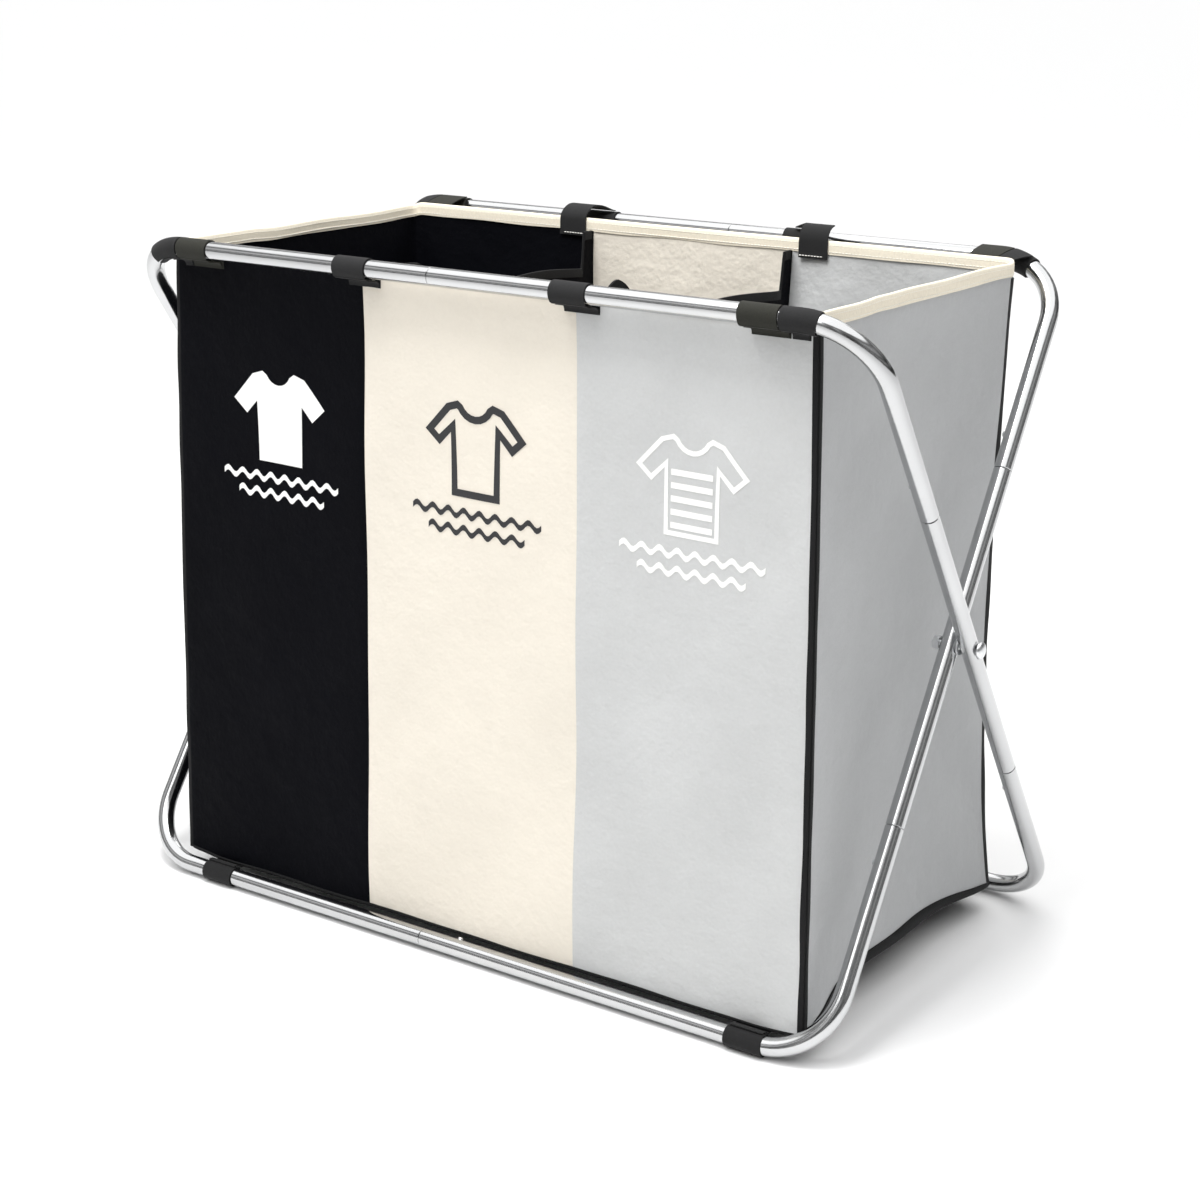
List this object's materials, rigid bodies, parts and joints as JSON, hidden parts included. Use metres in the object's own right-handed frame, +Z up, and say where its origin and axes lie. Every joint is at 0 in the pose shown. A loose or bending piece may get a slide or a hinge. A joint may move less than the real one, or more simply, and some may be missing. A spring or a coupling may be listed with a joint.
{
  "type": "laundry sorter",
  "caption": "Folding laundry sorter: a fabric bag with side-by-side compartments hung in a crossed frame of bright round tubes, standing on its bottom rails.",
  "frame": {"origin": "on the floor, under the middle of the frame", "axes": "+X along the rails to the right, +Y to the rear, +Z up; the front of the bag faces -Y"},
  "size_m": [0.7388, 0.3928, 0.5738],
  "materials": {
    "bright_tube": "polished",
    "zinc_steel": "zinc plated",
    "black_cloth": "woven, slight sheen",
    "cream_cloth": "woven, slight sheen",
    "grey_cloth": "woven, slight sheen",
    "rim_tape": "woven tape, stitched",
    "strap_tape": "hook-and-loop tape"
  },
  "bodies": {
    "loop_a": {"front_top_right_tube": "bright_tube", "rear_bottom_right_tube": "bright_tube", "leg_a_right": "bright_tube", "front_top_left_tube": "bright_tube", "rear_bottom_left_tube": "bright_tube", "leg_a_left": "bright_tube", "strap_front_top_corner_right": "strap_tape", "strap_front_top_side_right": "strap_tape", "strap_front_top_divider_right": "strap_tape", "strap_rear_bottom_right": "strap_tape", "strap_front_top_corner_left": "strap_tape", "strap_front_top_side_left": "strap_tape", "strap_front_top_divider_left": "strap_tape", "strap_rear_bottom_left": "strap_tape"},
    "loop_b": {"rear_top_left_tube": "bright_tube", "front_bottom_left_tube": "bright_tube", "leg_b_left": "bright_tube", "rear_top_right_tube": "bright_tube", "front_bottom_right_tube": "bright_tube", "leg_b_right": "bright_tube", "strap_rear_top_corner_left": "strap_tape", "strap_rear_top_side_left": "strap_tape", "strap_rear_top_divider_left": "strap_tape", "strap_front_bottom_left": "strap_tape", "strap_rear_top_corner_right": "strap_tape", "strap_rear_top_side_right": "strap_tape", "strap_rear_top_divider_right": "strap_tape", "strap_front_bottom_right": "strap_tape"},
    "pivot_pins": {"pivot_bolt_right": "zinc_steel", "pivot_spacer_right": "zinc_steel", "pivot_nut_right": "zinc_steel", "pivot_bolt_left": "zinc_steel", "pivot_spacer_left": "zinc_steel", "pivot_nut_left": "zinc_steel"},
    "bag": {"front_panel_dark": "black_cloth", "rear_panel_dark": "black_cloth", "front_panel_light": "cream_cloth", "rear_panel_light": "cream_cloth", "front_panel_colour": "grey_cloth", "rear_panel_colour": "grey_cloth", "side_panel_left": "black_cloth", "side_panel_right": "grey_cloth", "divider_left": "black_cloth", "divider_right": "black_cloth", "bag_floor": "black_cloth", "rim_tape": "rim_tape"},
    "button_front_top_rail": {"button_front_top_rail": "zinc_steel"},
    "button_front_top_right": {"button_front_top_right": "zinc_steel"},
    "button_front_top_left": {"button_front_top_left": "zinc_steel"},
    "button_rear_bottom_rail": {"button_rear_bottom_rail": "zinc_steel"},
    "button_rear_bottom_right": {"button_rear_bottom_right": "zinc_steel"},
    "button_rear_bottom_left": {"button_rear_bottom_left": "zinc_steel"},
    "button_rear_top_rail": {"button_rear_top_rail": "zinc_steel"},
    "button_rear_top_left": {"button_rear_top_left": "zinc_steel"},
    "button_rear_top_right": {"button_rear_top_right": "zinc_steel"},
    "button_front_bottom_rail": {"button_front_bottom_rail": "zinc_steel"},
    "button_front_bottom_left": {"button_front_bottom_left": "zinc_steel"},
    "button_front_bottom_right": {"button_front_bottom_right": "zinc_steel"}
  },
  "joints": [
    {"name": "fold", "type": "hinge", "parent": "loop_a", "child": "loop_b", "pos_m": [0, 0, 0.2869], "axis": [1, 0, 0], "range_deg": [0, 58], "deforming": ["front_panel_dark", "rear_panel_dark", "front_panel_light", "rear_panel_light", "front_panel_colour", "rear_panel_colour", "side_panel_left", "side_panel_right", "divider_left", "divider_right", "bag_floor", "rim_tape"]},
    {"name": "pin_turn", "type": "hinge", "parent": "loop_a", "child": "pivot_pins", "pos_m": [0, 0, 0.2869], "axis": [1, 0, 0], "range_deg": [0, 29]},
    {"name": "bag_rise", "type": "slide", "parent": "pivot_pins", "child": "bag", "axis": [0, 0, 1], "range_m": [0, 0.05587]},
    {"name": "press_front_top_rail", "type": "slide", "parent": "loop_a", "child": "button_front_top_rail", "axis": [0, -0.5588, 0.8293], "range_m": [0, 0.0032], "stiffness_N_per_m": 1500},
    {"name": "press_front_top_right", "type": "slide", "parent": "loop_a", "child": "button_front_top_right", "axis": [1, 0, 0], "range_m": [0, 0.0032], "stiffness_N_per_m": 1500},
    {"name": "press_front_top_left", "type": "slide", "parent": "loop_a", "child": "button_front_top_left", "axis": [-1, 0, 0], "range_m": [0, 0.0032], "stiffness_N_per_m": 1500},
    {"name": "press_rear_bottom_rail", "type": "slide", "parent": "loop_a", "child": "button_rear_bottom_rail", "axis": [0, 0.5588, -0.8293], "range_m": [0, 0.0032], "stiffness_N_per_m": 1500},
    {"name": "press_rear_bottom_right", "type": "slide", "parent": "loop_a", "child": "button_rear_bottom_right", "axis": [1, 0, 0], "range_m": [0, 0.0032], "stiffness_N_per_m": 1500},
    {"name": "press_rear_bottom_left", "type": "slide", "parent": "loop_a", "child": "button_rear_bottom_left", "axis": [-1, 0, 0], "range_m": [0, 0.0032], "stiffness_N_per_m": 1500},
    {"name": "press_rear_top_rail", "type": "slide", "parent": "loop_b", "child": "button_rear_top_rail", "axis": [0, 0.5588, 0.8293], "range_m": [0, 0.0032], "stiffness_N_per_m": 1500},
    {"name": "press_rear_top_left", "type": "slide", "parent": "loop_b", "child": "button_rear_top_left", "axis": [-1, 0, 0], "range_m": [0, 0.0032], "stiffness_N_per_m": 1500},
    {"name": "press_rear_top_right", "type": "slide", "parent": "loop_b", "child": "button_rear_top_right", "axis": [1, 0, 0], "range_m": [0, 0.0032], "stiffness_N_per_m": 1500},
    {"name": "press_front_bottom_rail", "type": "slide", "parent": "loop_b", "child": "button_front_bottom_rail", "axis": [0, -0.5588, -0.8293], "range_m": [0, 0.0032], "stiffness_N_per_m": 1500},
    {"name": "press_front_bottom_left", "type": "slide", "parent": "loop_b", "child": "button_front_bottom_left", "axis": [-1, 0, 0], "range_m": [0, 0.0032], "stiffness_N_per_m": 1500},
    {"name": "press_front_bottom_right", "type": "slide", "parent": "loop_b", "child": "button_front_bottom_right", "axis": [1, 0, 0], "range_m": [0, 0.0032], "stiffness_N_per_m": 1500}
  ],
  "couplings": [
    {"joint": "pin_turn", "follows": "fold", "ratio": 0.5},
    {"joint": "bag_rise", "follows": "fold", "m_per_rad": 0.05516}
  ]
}
